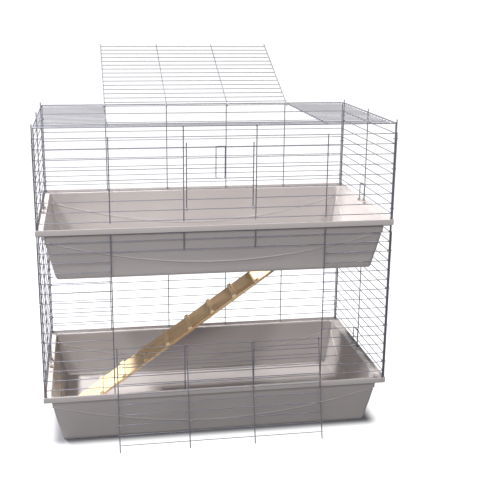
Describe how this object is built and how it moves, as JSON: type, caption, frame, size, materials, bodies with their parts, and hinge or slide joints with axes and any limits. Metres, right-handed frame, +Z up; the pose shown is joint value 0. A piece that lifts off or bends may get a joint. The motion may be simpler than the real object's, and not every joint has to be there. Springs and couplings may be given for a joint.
{
  "type": "rabbit cage",
  "caption": "Wire rabbit cage on stacked moulded tubs, with a ramp between floors, drop-down front doors, a roof lid and side clips.",
  "frame": {"origin": "middle of the lower tub's flat underside", "axes": "+Z up, -Y towards the front with the doors, +X to the right along the cage's length"},
  "size_m": [1, 0.9911, 1.0802],
  "materials": {
    "tub": "moulded, soft gloss",
    "wire": "bright zinc plate",
    "door_wire": "bright zinc plate",
    "spring_wire": "bright zinc plate",
    "pine": "planed, unfinished",
    "hook_steel": "zinc plated"
  },
  "bodies": {
    "cage": {"lower_tub": "tub", "upper_tub": "tub", "lower_front_panel": "wire", "lower_back_panel": "wire", "lower_right_panel": "wire", "lower_left_panel": "wire", "upper_front_panel": "wire", "upper_back_panel": "wire", "upper_right_panel": "wire", "upper_left_panel": "wire", "roof_panel": "wire", "roof_edge_wires": "wire", "lower_corner_rods": "wire", "upper_corner_rods": "wire", "lower_corner_rings": "wire", "upper_corner_rings": "wire"},
    "roof_lid": {"roof_lid": "door_wire"},
    "lower_door": {"lower_door": "door_wire"},
    "upper_door": {"upper_door": "door_wire"},
    "upper_door_latch": {"upper_door_latch": "spring_wire"},
    "lower_left_clip": {"lower_left_clip": "spring_wire"},
    "lower_right_clip": {"lower_right_clip": "spring_wire"},
    "upper_left_clip": {"upper_left_clip": "spring_wire"},
    "upper_right_clip": {"upper_right_clip": "spring_wire"},
    "ramp": {"ramp_board": "pine", "ramp_battens": "pine", "ramp_hooks": "hook_steel", "ramp_screws": "hook_steel"}
  },
  "joints": [
    {"name": "roof_lid_hinge", "type": "hinge", "parent": "cage", "child": "roof_lid", "pos_m": [0, 0.2467, 0.90513], "axis": [1, 0, 0], "range_deg": [0, 156.26]},
    {"name": "lower_door_hinge", "type": "hinge", "parent": "cage", "child": "lower_door", "pos_m": [0, -0.26258, 0.2835], "axis": [-1, 0, 0], "range_deg": [0, 164.26]},
    {"name": "upper_door_hinge", "type": "hinge", "parent": "cage", "child": "upper_door", "pos_m": [0, -0.26258, 0.68], "axis": [1, 0, 0], "range_deg": [0, 165]},
    {"name": "upper_door_latch_slide", "type": "slide", "parent": "upper_door", "child": "upper_door_latch", "axis": [0, -0.0171, 0.9999], "range_m": [0, 0.012]},
    {"name": "lower_left_clip_hinge", "type": "hinge", "parent": "cage", "child": "lower_left_clip", "pos_m": [-0.487, 0, 0.146], "axis": [0, 1, 0], "range_deg": [0, 75]},
    {"name": "lower_right_clip_hinge", "type": "hinge", "parent": "cage", "child": "lower_right_clip", "pos_m": [0.487, 0, 0.146], "axis": [0, -1, 0], "range_deg": [0, 75]},
    {"name": "upper_left_clip_hinge", "type": "hinge", "parent": "cage", "child": "upper_left_clip", "pos_m": [-0.487, 0, 0.631], "axis": [0, 1, 0], "range_deg": [0, 75]},
    {"name": "upper_right_clip_hinge", "type": "hinge", "parent": "cage", "child": "upper_right_clip", "pos_m": [0.487, 0, 0.631], "axis": [0, -1, 0], "range_deg": [0, 75]},
    {"name": "ramp_hinge", "type": "hinge", "parent": "cage", "child": "ramp", "pos_m": [0.2835, -0.012, 0.498], "axis": [0, 1, 0], "range_deg": [0, 5]}
  ]
}
